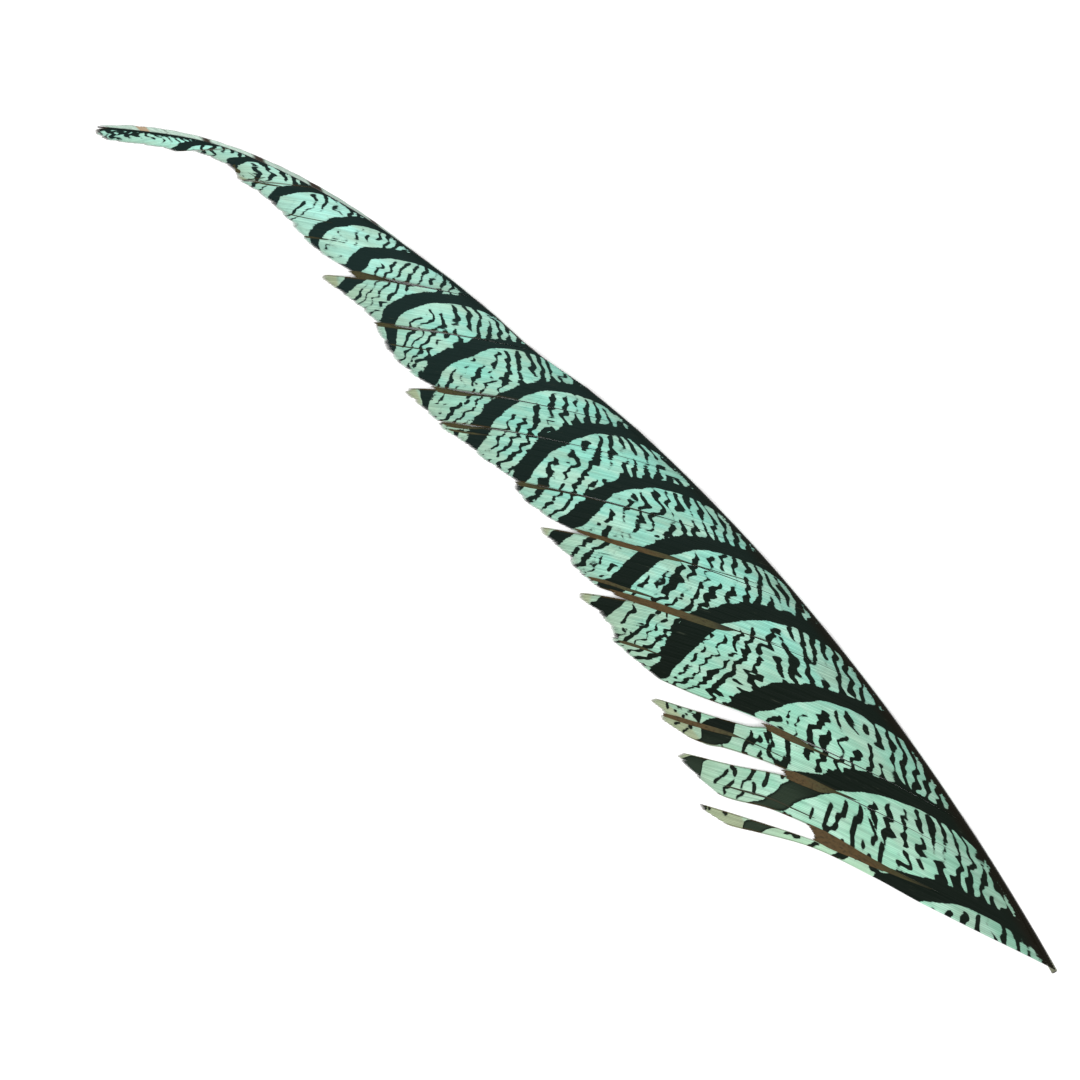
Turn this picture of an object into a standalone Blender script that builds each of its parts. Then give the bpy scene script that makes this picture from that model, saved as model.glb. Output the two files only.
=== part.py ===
"""A barred pheasant tail feather, lying with its patterned side up.

X runs from the quill's cut end to the tip, +Y is the side of the broad vane, and +Z is up.
The origin is the middle of the feather's footprint, on the surface it lies on.

Places on the feather are given by two numbers. The station is the distance along the shaft
from the quill's end. The reach is the distance along a barb from the shaft.
"""
import math

import bmesh
import bpy
import numpy as np

MM = 0.001

# Shaft, in millimetres and degrees. Each pair is (station, value). The course is the smooth curve that the
# feather grew along. The shaft strays from it a little, most at the slight bend near station 255.
SHAFT_LENGTH = 413.5
COURSE_HEADING = ((0, -20), (60, -15), (130, -10), (200, -2), (260, 4), (310, 4), (340, 12), (362, 18),
                  (385, 32), (413.5, 36))
SHAFT_STRAY = ((0, -0.15), (30, 0.2), (60, 0.4), (100, 0.4), (140, 0.65), (180, 0.5), (215, 0.1), (236, 0.5),
               (251, 1.8), (260, 1.6), (273, 0.4), (290, -0.2), (310, 0.0), (340, 0.4), (362, 0.4), (390, -0.4),
               (413.5, -0.2))
SHAFT_HALF_WIDTH = ((0, 0.95), (60, 0.85), (200, 0.55), (330, 0.35), (413.5, 0.2))
SHAFT_HALF_DEPTH = ((0, 1.0), (60, 1.0), (200, 0.8), (330, 0.5), (413.5, 0.3))
SHAFT_EDGE_SHARE = 0.6
SHAFT_HEIGHT = ((0, 1.0), (18, 1.0), (50, 3.0), (100, 5.0), (200, 5.5), (300, 4.5), (360, 2.0), (413.5, 0.6))

# Barbs of the broad vane: their angle to the shaft, and how much they turn away for each millimetre.
BARB_ANGLE = ((0, 33), (20, 29), (40, 27), (120, 26), (290, 25), (330, 22), (372, 19), (413.5, 15))
BARB_TURN = ((0, 0.096), (45, 0.096), (90, 0.15), (215, 0.15), (260, 0.11), (413.5, 0.1))

# Broad vane, in millimetres.
VANE_REACH = ((0, 118), (55, 114), (62, 105), (100, 101), (135, 91), (160, 83), (215, 77), (220, 66),
              (250, 57), (280, 49), (300, 38), (340, 25), (372, 16), (395, 13), (411, 4))
VANE_RISE = ((0, 1.0), (40, 4.0), (120, 5.0), (250, 4.0), (340, 1.6), (413.5, 0.2))
VANE_CREST = 0.12
VANE_FALL = 1.6
VANE_THICKNESS = 0.5
TIP_THICKNESS = 0.3
SMALL_LOCK_WIDTH = 8.5
SMALL_LOCK_POINT = 0.8
SMALL_LOCK_RIDGE = 0.25

# Locks of the broad vane, from the quill to the tip. "lower" and "upper" are the lock's two long edges as
# (reach, station) points. "ends" is where its barbs end, as (share of the way to the upper edge, reach).
LOCKS = (
    dict(lower=((0, 1.8), (25, 1.1), (45, 1.9), (60, 3.9), (80, 5.7), (100, 3.9), (110, 3), (118, 4)),
         upper=((0, 10), (50, 9), (76, 8.6), (100, 7.6), (118, 7)),
         ends=((0, 111), (0.5, 118), (1, 118.5))),
    dict(lower=((0, 10), (50, 10.3), (60, 11.2), (76, 13.4), (90, 13.8), (107, 12), (119, 14)),
         upper=((0, 34.5), (62, 33), (78, 30.4), (100, 25), (120, 22)),
         ends=((0, 110), (0.3, 116), (0.75, 120), (1, 117))),
    dict(lower=((0, 34.5), (78, 33.4), (98, 31.6), (105, 30), (117, 30.5)),
         upper=((0, 55), (60, 54.6), (70, 53.4), (80, 49), (100, 44.8), (117, 43)),
         ends=((0, 111), (0.3, 118), (0.6, 116), (0.8, 118), (1, 115))),
    dict(lower=((0, 55), (60, 55.8), (70, 57.2), (90, 56.8), (104, 59.5)),
         upper=((0, 106.5), (50, 106), (86, 103.8), (101, 102)),
         ends=((0, 103), (0.2, 105), (0.4, 106), (0.6, 101), (0.8, 99.5), (0.93, 102), (1, 100))),
    dict(lower=((0, 106.5), (86, 106.8), (92, 107.4)),
         upper=((0, 137.2), (78, 135.8), (92, 135)),
         ends=((0, 91), (0.1, 92), (0.3, 93.5), (0.5, 91.5), (0.85, 93), (1, 91))),
    dict(lower=((0, 137.2), (77, 137.4), (84, 138.4)),
         upper=((0, 161.8), (80, 161.2)),
         ends=((0, 79), (0.2, 83.5), (0.5, 85), (0.8, 83.5), (1, 80))),
    dict(lower=((0, 161.8), (80, 162.2)),
         upper=((0, 194.6), (80, 194.2)),
         ends=((0, 79), (0.4, 81.5), (0.6, 80.5), (0.85, 82), (1, 80.5))),
    dict(lower=((0, 194.6), (80, 195.2)),
         upper=((0, 216.5), (63, 215.8), (77, 214.2)),
         ends=((0, 80), (0.5, 78.5), (0.85, 77.5), (1, 74))),
    dict(lower=((0, 216.5), (62, 217.2), (66, 217.8)),
         upper=((0, 253.5), (52, 253)),
         ends=((0, 64), (0.15, 66), (0.4, 65), (0.7, 60.5), (1, 54.5))),
    dict(lower=((0, 253.5), (51, 254.4)),
         upper=((0, 282), (34, 281.4), (48, 280.8)),
         ends=((0, 52), (0.5, 50.5), (0.9, 51), (1, 48))),
    dict(lower=((0, 282), (34, 284.4), (38, 287)),
         upper=((0, 341.2), (25, 341)),
         ends=((0, 36.5), (0.15, 39.5), (0.4, 37), (0.7, 30.5), (0.9, 26.5), (1, 25.5))),
    dict(lower=((0, 341.2), (25, 341.8)),
         upper=((0, 371.4), (17, 370.4)),
         ends=((0, 25), (0.2, 20.5), (0.4, 17), (0.7, 15), (1, 12.5))),
    dict(lower=((0, 371.4), (17, 371.4)),
         upper=((0, 411.5), (4, 411.5)),
         ends=((0, 17.5), (0.15, 15), (0.4, 13), (0.6, 13.5), (0.8, 10), (1, 3.2))),
)

# Where each split between two locks starts, as its reach, from the quill to the tip.
SPLIT_STARTS = (77, 78, 70, 86, 77, 76, 77, 62, 50, 34, 22, 11)
END_SPLIT_START = 2.2

# Rows of the broad vane: shares of the reach before the splits start, and of the rest.
INNER_ROWS = (0.07, 0.16, 0.3, 0.48, 0.68, 0.85, 1.0)
OUTER_ROWS = (0.2, 0.45, 0.72, 1.0)

# Narrow vane: it is folded down beside the shaft, and lies flat only near the tip.
NARROW_START = 30.0
NARROW_WIDTH = ((30, 0.8), (60, 3.4), (100, 5.0), (200, 5.5), (300, 4.5), (345, 2.8), (360, 2.2), (372, 1.6),
                (400, 1.5), (411.5, 0.8))
NARROW_FOLD = ((30, 90), (325, 88), (345, 68), (365, 38), (385, 18), (413.5, 8))
NARROW_THICKNESS = 0.4
NARROW_POINT = 0.25

# The middle of the footprint, measured from the quill's end.
FOOTPRINT_CENTRE = (200.4, -3.8)


def value_at(pairs, x):
    """Straight-line reading of a table of pairs."""
    table = np.array(pairs, float)
    return np.interp(x, table[:, 0], table[:, 1])


def course_line():
    """The feather's course seen from above, as stations and points."""
    stations = np.linspace(0.0, SHAFT_LENGTH, 828)
    step = stations[1] - stations[0]
    heading = np.radians(value_at(COURSE_HEADING, stations))
    middle = (heading[1:] + heading[:-1]) / 2
    x = np.concatenate(([0.0], np.cumsum(np.cos(middle)) * step))
    y = np.concatenate(([0.0], np.cumsum(np.sin(middle)) * step))
    return stations, x, y


COURSE_STATIONS, COURSE_X, COURSE_Y = course_line()


def beside_course(station, side):
    """A point beside the course, seen from above. side is positive towards the broad vane."""
    heading = math.radians(value_at(COURSE_HEADING, station))
    x = np.interp(station, COURSE_STATIONS, COURSE_X) - side * math.sin(heading)
    y = np.interp(station, COURSE_STATIONS, COURSE_Y) + side * math.cos(heading)
    return x, y


def on_shaft(station, side):
    """A point beside the shaft's centre line, seen from above."""
    return beside_course(station, value_at(SHAFT_STRAY, station) + side)


def on_barb(station, reach):
    """A point on a barb of the broad vane, seen from above."""
    start = math.radians(value_at(COURSE_HEADING, station) + value_at(BARB_ANGLE, station))
    turn = math.radians(value_at(BARB_TURN, station))
    x, y = beside_course(station, 0.0)
    x += (math.sin(start + turn * reach) - math.sin(start)) / turn
    y += (math.cos(start) - math.cos(start + turn * reach)) / turn
    return x, y


def vane_height(station, reach):
    """Height of the broad vane's middle: it rises from the shaft, arches over and comes down to the surface."""
    share = min(max(reach, 0.0) / value_at(VANE_REACH, station), 1.0)
    base = value_at(SHAFT_HEIGHT, station)
    rise = value_at(VANE_RISE, station) * (1.0 - math.exp(-share / VANE_CREST))
    edge = TIP_THICKNESS / 2
    return edge + (base - edge + rise) * (1.0 - share ** VANE_FALL)


class Sheet:
    """Pairs of upper and lower points, joined by faces into one closed body."""

    def __init__(self):
        self.mesh = bmesh.new()
        self.lower_of = {}

    def point(self, upper, lower):
        centre_x, centre_y = FOOTPRINT_CENTRE
        ends = []
        for x, y, z in (upper, lower):
            ends.append(self.mesh.verts.new(((x - centre_x) * MM, (y - centre_y) * MM, z * MM)))
        self.lower_of[ends[0]] = ends[1]
        return ends[0]

    def between(self, near, far):
        """Faces between two columns of upper points, and the same faces below."""
        for a, b, c, d in zip(near, far, far[1:], near[1:]):
            self.mesh.faces.new((a, b, c, d))
            self.mesh.faces.new([self.lower_of[corner] for corner in (d, c, b, a)])

    def close(self):
        """Side walls around the sheet's whole edge, splits included."""
        uppers = set(self.lower_of)
        for edge in [e for e in self.mesh.edges if len(e.link_faces) == 1 and e.verts[0] in uppers]:
            loop = edge.link_faces[0].loops[0]
            while loop.edge is not edge:
                loop = loop.link_loop_next
            start = loop.vert
            end = loop.link_loop_next.vert
            self.mesh.faces.new((end, start, self.lower_of[start], self.lower_of[end]))


def narrow_points(sheet, station, is_gap):
    """Upper and lower points of the narrow vane at one station, from its edge to the shaft."""
    points = []
    fold = math.radians(value_at(NARROW_FOLD, station))
    width = value_at(NARROW_WIDTH, station) - (NARROW_POINT if is_gap else 0.0)
    across = NARROW_THICKNESS / 2 * math.sin(fold)
    up = NARROW_THICKNESS / 2 * math.cos(fold)
    for share in (1.0, 0.5):
        side = -value_at(SHAFT_HALF_WIDTH, station) - width * share * math.cos(fold)
        height = max(value_at(SHAFT_HEIGHT, station) - width * share * math.sin(fold), up)
        outer = on_shaft(station, side - across)
        inner = on_shaft(station, side + across)
        points.append(sheet.point((*outer, height + up), (*inner, height - up)))
    return points


def shaft_points(sheet, station):
    """Upper and lower points across the shaft at one station. The quill has a flat face below."""
    width = value_at(SHAFT_HALF_WIDTH, station)
    depth = value_at(SHAFT_HALF_DEPTH, station)
    height = value_at(SHAFT_HEIGHT, station)
    edge = min(VANE_THICKNESS / 2, depth * SHAFT_EDGE_SHARE)
    points = []
    for side, half in ((-1.0, edge), (-0.5, depth), (0.5, depth), (1.0, edge)):
        x, y = on_shaft(station, side * width)
        points.append(sheet.point((x, y, height + half), (x, y, height - half)))
    return points


def vane_points(sheet, lock, share, split_reach, end_reach, lift, shared):
    """Upper and lower points along one barb. The points that a neighbour already has are passed in shared."""
    root = lock["lower"][0][1] * (1 - share) + lock["upper"][0][1] * share
    angle = math.radians(value_at(BARB_ANGLE, root))
    first = (value_at(SHAFT_HALF_WIDTH, root) + value_at(SHAFT_STRAY, root)) / math.sin(angle)
    reaches = [first + (split_reach - first) * row for row in INNER_ROWS]
    reaches += [split_reach + (end_reach - split_reach) * row for row in OUTER_ROWS]
    points = list(shared)
    for reach in reaches[len(shared):]:
        low = value_at(lock["lower"], reach)
        high = value_at(lock["upper"], reach)
        station = min(low * (1 - share) + high * share, SHAFT_LENGTH)
        x, y = on_barb(station, reach)
        out = reach / end_reach
        z = vane_height(station, reach) + lift * out * out
        half = (VANE_THICKNESS * (1.0 - out) + TIP_THICKNESS * out) / 2
        points.append(sheet.point((x, y, z + half), (x, y, max(z - half, 0.0))))
    return points


def feather_mesh():
    """The whole feather as one closed sheet with a thick shaft, its vane cut by the splits."""
    sheet = Sheet()
    quill = shaft_points(sheet, 0.0)
    first_root = LOCKS[0]["lower"][0][1]
    splits = [(first_root, SPLIT_STARTS[0])]
    splits += [(lock["upper"][0][1], start) for lock, start in zip(LOCKS, SPLIT_STARTS)]
    splits.append((LOCKS[-1]["upper"][0][1], END_SPLIT_START))
    last_narrow = None
    last_shaft = quill
    last_vane = None
    for lock in LOCKS:
        start_root = lock["lower"][0][1]
        end_root = lock["upper"][0][1]
        small_locks = max(1, round((end_root - start_root) / SMALL_LOCK_WIDTH))
        for column in range(2 * small_locks + 1):
            share = column / (2 * small_locks)
            root = start_root * (1 - share) + end_root * share
            is_gap = column % 2 == 0
            split_reach = value_at(splits, root)
            end_reach = value_at(lock["ends"], share)
            if is_gap and 0 < share < 1:
                end_reach -= min(SMALL_LOCK_POINT, (end_reach - split_reach) / 4)
            lift = SMALL_LOCK_RIDGE if is_gap else 0.0
            if column == 0 and last_vane:
                shared = last_vane[:len(INNER_ROWS)]
                last_vane = vane_points(sheet, lock, share, split_reach, end_reach, lift, shared)
                continue
            vane = vane_points(sheet, lock, share, split_reach, end_reach, lift, ())
            shaft = shaft_points(sheet, root)
            sheet.between(last_shaft, shaft)
            if last_vane:
                sheet.between([last_shaft[-1]] + last_vane, [shaft[-1]] + vane)
            if root >= NARROW_START:
                narrow = narrow_points(sheet, root, is_gap)
                if last_narrow:
                    sheet.between(last_narrow + [last_shaft[0]], narrow + [shaft[0]])
                last_narrow = narrow
            last_shaft = shaft
            last_vane = vane
    sheet.close()
    mesh = bpy.data.meshes.new("feather")
    bmesh.ops.recalc_face_normals(sheet.mesh, faces=sheet.mesh.faces)
    sheet.mesh.to_mesh(mesh)
    sheet.mesh.free()
    return mesh


def feather_material():
    """Mint-dyed vane, dull and soft."""
    material = bpy.data.materials.new("feather")
    material.use_nodes = True
    shader = material.node_tree.nodes["Principled BSDF"]
    shader.inputs["Base Color"].default_value = (0.25, 0.68, 0.5, 1.0)
    shader.inputs["Roughness"].default_value = 0.6
    shader.inputs["Metallic"].default_value = 0.0
    return material


def build():
    for thing in list(bpy.data.objects):
        bpy.data.objects.remove(thing)
    mesh = feather_mesh()
    mesh.materials.append(feather_material())
    feather = bpy.data.objects.new("feather", mesh)
    bpy.context.scene.collection.objects.link(feather)


build()
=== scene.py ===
"""A barred pheasant tail feather, dyed mint, lying on a pale table with its patterned side up.

X runs from the quill's cut end to the tip, +Y is the side of the broad vane, and +Z is up.
Places on the feather are given by two numbers, in millimetres. The station is the distance along the shaft
from the quill's end. The reach is the distance along a barb from the shaft.
"""
import math

import bpy
import numpy as np
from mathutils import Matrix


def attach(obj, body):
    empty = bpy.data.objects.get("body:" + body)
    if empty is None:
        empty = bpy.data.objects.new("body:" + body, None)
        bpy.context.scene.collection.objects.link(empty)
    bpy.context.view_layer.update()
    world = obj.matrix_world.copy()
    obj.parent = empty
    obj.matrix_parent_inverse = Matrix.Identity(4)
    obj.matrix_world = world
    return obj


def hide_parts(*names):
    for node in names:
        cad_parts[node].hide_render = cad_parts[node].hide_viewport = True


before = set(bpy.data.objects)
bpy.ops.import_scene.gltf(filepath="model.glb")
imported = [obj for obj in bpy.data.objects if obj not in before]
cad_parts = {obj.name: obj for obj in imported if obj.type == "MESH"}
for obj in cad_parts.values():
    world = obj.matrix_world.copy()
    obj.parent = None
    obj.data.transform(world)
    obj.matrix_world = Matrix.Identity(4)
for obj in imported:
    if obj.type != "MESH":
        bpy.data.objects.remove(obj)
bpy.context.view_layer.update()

bpy.ops.object.select_all(action="DESELECT")

# ---------------------------------------------------------------------------------------------------------
# The shaft. It is one long horn rod: a hollow quill that was cut off short, then a solid shaft with a groove
# below, which thins out to a hair at the tip. Everything else grows from it.
MM = 0.001
SHAFT_LENGTH = 413.5
COURSE_HEADING = ((0, -20), (60, -15), (130, -10), (200, -2), (260, 4), (310, 4), (340, 12), (362, 18),
                  (385, 32), (413.5, 36))
SHAFT_STRAY = ((0, -0.15), (30, 0.2), (60, 0.4), (100, 0.4), (140, 0.65), (180, 0.5), (215, 0.1), (236, 0.5),
               (251, 1.8), (260, 1.6), (273, 0.4), (290, -0.2), (310, 0.0), (340, 0.4), (362, 0.4),
               (390, -0.4), (413.5, -0.2))
SHAFT_HALF_WIDTH = ((0, 0.95), (60, 0.85), (200, 0.55), (330, 0.35), (413.5, 0.2))
SHAFT_HALF_DEPTH = ((0, 1.0), (60, 1.0), (200, 0.8), (330, 0.5), (413.5, 0.3))
SHAFT_HEIGHT = ((0, 1.0), (18, 1.0), (50, 3.0), (100, 5.0), (200, 5.5), (300, 4.5), (360, 2.0), (413.5, 0.6))
SHAFT_SIDES = 18
SHAFT_RINGS = 240
GROOVE_START = 12.0
GROOVE_DEPTH = 0.28
QUILL_SLANT = 0.35
QUILL_WALL = 0.28
QUILL_BORE = 6.0
FOOTPRINT_CENTRE = (200.4, -3.8)


def value_at(pairs, x):
    """Straight-line reading of a table of pairs."""
    table = np.array(pairs, float)
    return np.interp(x, table[:, 0], table[:, 1])


def smooth_at(pairs, x):
    """Reading of a table of pairs along a smooth curve that never overshoots its points."""
    xs, ys = np.array(pairs, float).T
    if len(xs) < 3:
        return np.interp(x, xs, ys)
    wide = np.diff(xs)
    slope = np.diff(ys) / wide
    before, after = slope[:-1], slope[1:]
    same = before * after > 0
    middle = np.where(same, 2 * before * after / np.where(same, before + after, 1.0), 0.0)
    tangent = np.concatenate(([slope[0]], middle, [slope[-1]]))
    cell = np.clip(np.searchsorted(xs, x, side="right") - 1, 0, len(xs) - 2)
    t = np.clip((x - xs[cell]) / wide[cell], 0.0, 1.0)
    ease = t * t * (3 - 2 * t)
    bend = wide[cell] * t * (1 - t) * ((1 - t) * tangent[cell] - t * tangent[cell + 1])
    return ys[cell] * (1 - ease) + ys[cell + 1] * ease + bend


def eased(x, low, high):
    """0 up to low, 1 from high on, and a smooth step between."""
    t = np.clip((x - low) / (high - low), 0.0, 1.0)
    return t * t * (3 - 2 * t)


course_stations = np.linspace(0.0, SHAFT_LENGTH, 828)
course_turns = np.radians(value_at(COURSE_HEADING, course_stations))
course_steps = (course_turns[1:] + course_turns[:-1]) / 2
course_x = np.concatenate(([0.0], np.cumsum(np.cos(course_steps)))) * course_stations[1]
course_y = np.concatenate(([0.0], np.cumsum(np.sin(course_steps)))) * course_stations[1]


def beside_course(station, side):
    """A point beside the feather's course, seen from above. side is positive towards the broad vane."""
    heading = np.radians(value_at(COURSE_HEADING, station))
    x = np.interp(station, course_stations, course_x) - side * np.sin(heading)
    y = np.interp(station, course_stations, course_y) + side * np.cos(heading)
    return x, y


def on_shaft(station, side):
    """A point beside the shaft's centre line, seen from above."""
    return beside_course(station, value_at(SHAFT_STRAY, station) + side)


def in_metres(x, y, z):
    """Points in the row's frame, from millimetres measured from the quill's end."""
    return np.stack([x - FOOTPRINT_CENTRE[0], y - FOOTPRINT_CENTRE[1], z], axis=-1) * MM


def keep_number(mesh, name, values):
    """Keeps one number for each point of a mesh, for its material to read."""
    mesh.attributes.new(name, "FLOAT", "POINT").data.foreach_set("value", np.ravel(values).astype(np.float32))


def select_where(mesh, wanted):
    """Selects the points, edges and faces that lie wholly where wanted says."""
    for group in (mesh.vertices, mesh.edges, mesh.polygons):
        group.foreach_set("select", np.zeros(len(group), bool))
    mesh.vertices.foreach_set("select", wanted)
    for group in (mesh.edges, mesh.polygons):
        for part in group:
            part.select = all(wanted[corner] for corner in part.vertices)


# The rod is drawn out ring by ring from a circle, its bore is pushed in, and then it is bent to its course.
bpy.ops.mesh.primitive_circle_add(vertices=SHAFT_SIDES, radius=1.0, location=(0, 0, 0),
                                  rotation=(0, math.pi / 2, 0))
shaft = bpy.context.active_object
shaft.name = "shaft"
bpy.ops.object.transform_apply(location=True, rotation=True, scale=True)
bpy.ops.object.mode_set(mode="EDIT")
bpy.ops.mesh.select_all(action="SELECT")
ring_step = SHAFT_LENGTH / SHAFT_RINGS
for ring in range(SHAFT_RINGS):
    bpy.ops.mesh.extrude_region_move(TRANSFORM_OT_translate={"value": (ring_step, 0, 0)})
bpy.ops.mesh.edge_face_add()
bpy.ops.mesh.poke()
bpy.ops.object.mode_set(mode="OBJECT")
places = np.array([point.co for point in shaft.data.vertices])
select_where(shaft.data, places[:, 0] < 0.01)
bpy.ops.object.mode_set(mode="EDIT")
bpy.ops.mesh.select_mode(type="EDGE")
bpy.ops.mesh.extrude_region_move()
bpy.ops.transform.resize(value=(1, 1 - QUILL_WALL, 1 - QUILL_WALL))
bpy.ops.mesh.extrude_region_move(TRANSFORM_OT_translate={"value": (QUILL_BORE, 0, 0)})
bpy.ops.mesh.edge_face_add()
bpy.ops.mesh.poke()
bpy.ops.mesh.select_all(action="SELECT")
bpy.ops.mesh.normals_make_consistent(inside=False)
bpy.ops.object.mode_set(mode="OBJECT")

places = np.array([point.co for point in shaft.data.vertices])
station, out, up = places.T
radius = np.hypot(out, up)
in_bore = ((radius < 0.9) & (station < QUILL_BORE + 0.1)).astype(float)
slant = QUILL_SLANT * (1 + up) * (1 - np.clip(station / 2.0, 0, 1))
groove = GROOVE_DEPTH * np.exp(-(out / 0.3) ** 2) * (up < 0) * eased(station, GROOVE_START, GROOVE_START + 25)
side = out * value_at(SHAFT_HALF_WIDTH, station)
height = value_at(SHAFT_HEIGHT, station) + (up + groove) * value_at(SHAFT_HALF_DEPTH, station)
x, y = on_shaft(np.minimum(station + slant, SHAFT_LENGTH), side)
shaft.data.vertices.foreach_set("co", in_metres(x, y, height).ravel())
keep_number(shaft.data, "station", station)
keep_number(shaft.data, "up", up)
keep_number(shaft.data, "around", np.arctan2(up, out))
keep_number(shaft.data, "bore", in_bore)
bake_map = shaft.data.uv_layers.new(name="OFBake")
for face in shaft.data.polygons:
    turns = [math.atan2(up[corner], out[corner]) / (2 * math.pi) + 0.5 for corner in face.vertices]
    wraps = max(turns) - min(turns) > 0.5
    for loop, corner, turn in zip(face.loop_indices, face.vertices, turns):
        turn = (turn + 1 if wraps and turn < 0.5 else turn) / (1 + 1 / SHAFT_SIDES)
        along = 0.04 + 0.95 * station[corner] / SHAFT_LENGTH
        if all(in_bore[other] or station[other] < 0.01 for other in face.vertices):
            along = 0.035 * station[corner] / QUILL_BORE
        bake_map.data[loop].uv = (along, turn)
shaft.data.shade_smooth()


def new_material(name):
    """A material with nodes, and its shader."""
    material = bpy.data.materials.new(name)
    material.use_nodes = True
    return material, material.node_tree.nodes, material.node_tree.nodes["Principled BSDF"]


def feed(socket, source):
    """Sets a socket to a number or colour, or links it to another node's output."""
    if isinstance(source, bpy.types.NodeSocket):
        socket.id_data.links.new(source, socket)
    elif hasattr(source, "__len__") and len(source) == 3 and socket.type == "RGBA":
        socket.default_value = (*source, 1.0)
    else:
        socket.default_value = source


def kept_number(nodes, name):
    """Reads one of a piece's kept numbers."""
    found = nodes.new("ShaderNodeAttribute")
    found.attribute_name = name
    return found.outputs["Fac"]


def maths(nodes, operation, first, second=0.0, third=0.0):
    step = nodes.new("ShaderNodeMath")
    step.operation = operation
    for socket, source in zip(step.inputs, (first, second, third)):
        feed(socket, source)
    return step.outputs["Value"]


def between(nodes, value, low, high, start=0.0, end=1.0):
    """start up to low, end from high on, and a smooth step between."""
    step = nodes.new("ShaderNodeMapRange")
    step.interpolation_type = "SMOOTHSTEP"
    sources = {"Value": value, "From Min": low, "From Max": high, "To Min": start, "To Max": end}
    for name, source in sources.items():
        feed(step.inputs[name], source)
    return step.outputs["Result"]


def place_of(nodes, x, y, z=0.0):
    """A pattern's place, put together from three numbers."""
    step = nodes.new("ShaderNodeCombineXYZ")
    for socket, source in zip(step.inputs, (x, y, z)):
        feed(socket, source)
    return step.outputs["Vector"]


def noise(nodes, place, scale, detail=2.0, roughness=0.5):
    step = nodes.new("ShaderNodeTexNoise")
    for name, source in (("Vector", place), ("Scale", scale), ("Detail", detail), ("Roughness", roughness)):
        feed(step.inputs[name], source)
    return step.outputs["Fac"]


def blended(nodes, share, first, second, way="MIX"):
    """Two colours mixed by a share."""
    step = nodes.new("ShaderNodeMix")
    step.data_type = "RGBA"
    step.blend_type = way
    feed(step.inputs["Factor"], share)
    feed(step.inputs[6], first)
    feed(step.inputs[7], second)
    return step.outputs[2]


def relief(nodes, shader, height, strength, depth):
    """Gives a surface a fine relief."""
    step = nodes.new("ShaderNodeBump")
    feed(step.inputs["Strength"], strength)
    feed(step.inputs["Distance"], depth)
    feed(step.inputs["Height"], height)
    feed(shader.inputs["Normal"], step.outputs["Normal"])


# Horn: grey-olive at the bare quill, then stained dark brown, with fine streaks along it. Inside the bore it
# is painted dark, as painted shade.
QUILL_OLIVE = (0.155, 0.165, 0.105)
SHAFT_BROWN = (0.016, 0.013, 0.009)
SHAFT_PALE = (0.23, 0.19, 0.12)
BORE_PAINTED_SHADE = (0.035, 0.030, 0.020)
HORN_STREAK = (0.02, 0.018, 0.012)
horn, nodes, shader = new_material("horn")
along = kept_number(nodes, "station")
place = place_of(nodes, maths(nodes, "MULTIPLY", along, 0.05), kept_number(nodes, "around"))
streaks = noise(nodes, place, 5.0, 4.0)
bare = between(nodes, maths(nodes, "MULTIPLY_ADD", streaks, 6.0, along), 3.0, 12.0, 1.0, 0.0)
below = between(nodes, kept_number(nodes, "up"), -0.9, -0.2, 0.75, 0.0)
colour = blended(nodes, below, SHAFT_BROWN, SHAFT_PALE)
colour = blended(nodes, bare, colour, QUILL_OLIVE)
colour = blended(nodes, between(nodes, streaks, 0.35, 0.7, 0.0, 0.5), colour, HORN_STREAK)
# Painted shade: the inside of the quill's bore is coloured dark.
colour = blended(nodes, kept_number(nodes, "bore"), colour, BORE_PAINTED_SHADE)
feed(shader.inputs["Base Color"], colour)
feed(shader.inputs["Roughness"], between(nodes, streaks, 0.3, 0.8, 0.34, 0.55))
relief(nodes, shader, streaks, 0.35, 0.00015)
shaft.data.materials.append(horn)
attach(shaft, "root")
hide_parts("feather")

# ---------------------------------------------------------------------------------------------------------
# The broad vane. Some 540 barbs leave the shaft side by side and hook into each other. They hang
# together in thirteen locks, parted by splits. Each barb has a round rib and a wing on either side, and it
# is dyed mint where it was white. Its black and white lengths make up the bars and the wavy strokes.
BARB_ANGLE = ((0, 33), (20, 29), (40, 27), (120, 26), (290, 25), (330, 22), (372, 19), (413.5, 15))
BARB_TURN = ((0, 0.096), (45, 0.096), (90, 0.15), (215, 0.15), (260, 0.11), (413.5, 0.1))
VANE_REACH = ((0, 118), (55, 114), (62, 105), (100, 101), (135, 91), (160, 83), (215, 77), (220, 66),
              (250, 57), (280, 49), (300, 38), (340, 25), (372, 16), (395, 13), (411, 4))
VANE_RISE = ((0, 1.0), (40, 4.0), (120, 5.0), (250, 4.0), (340, 1.6), (413.5, 0.2))
VANE_CREST = 0.12
VANE_FALL = 1.6
EDGE_HEIGHT = 0.28
VANE_OVER_SHAFT = 0.12
SMALL_LOCK_WIDTH = 8.5
SMALL_LOCK_POINT = 0.8
SMALL_LOCK_GAP = 0.2

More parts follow.
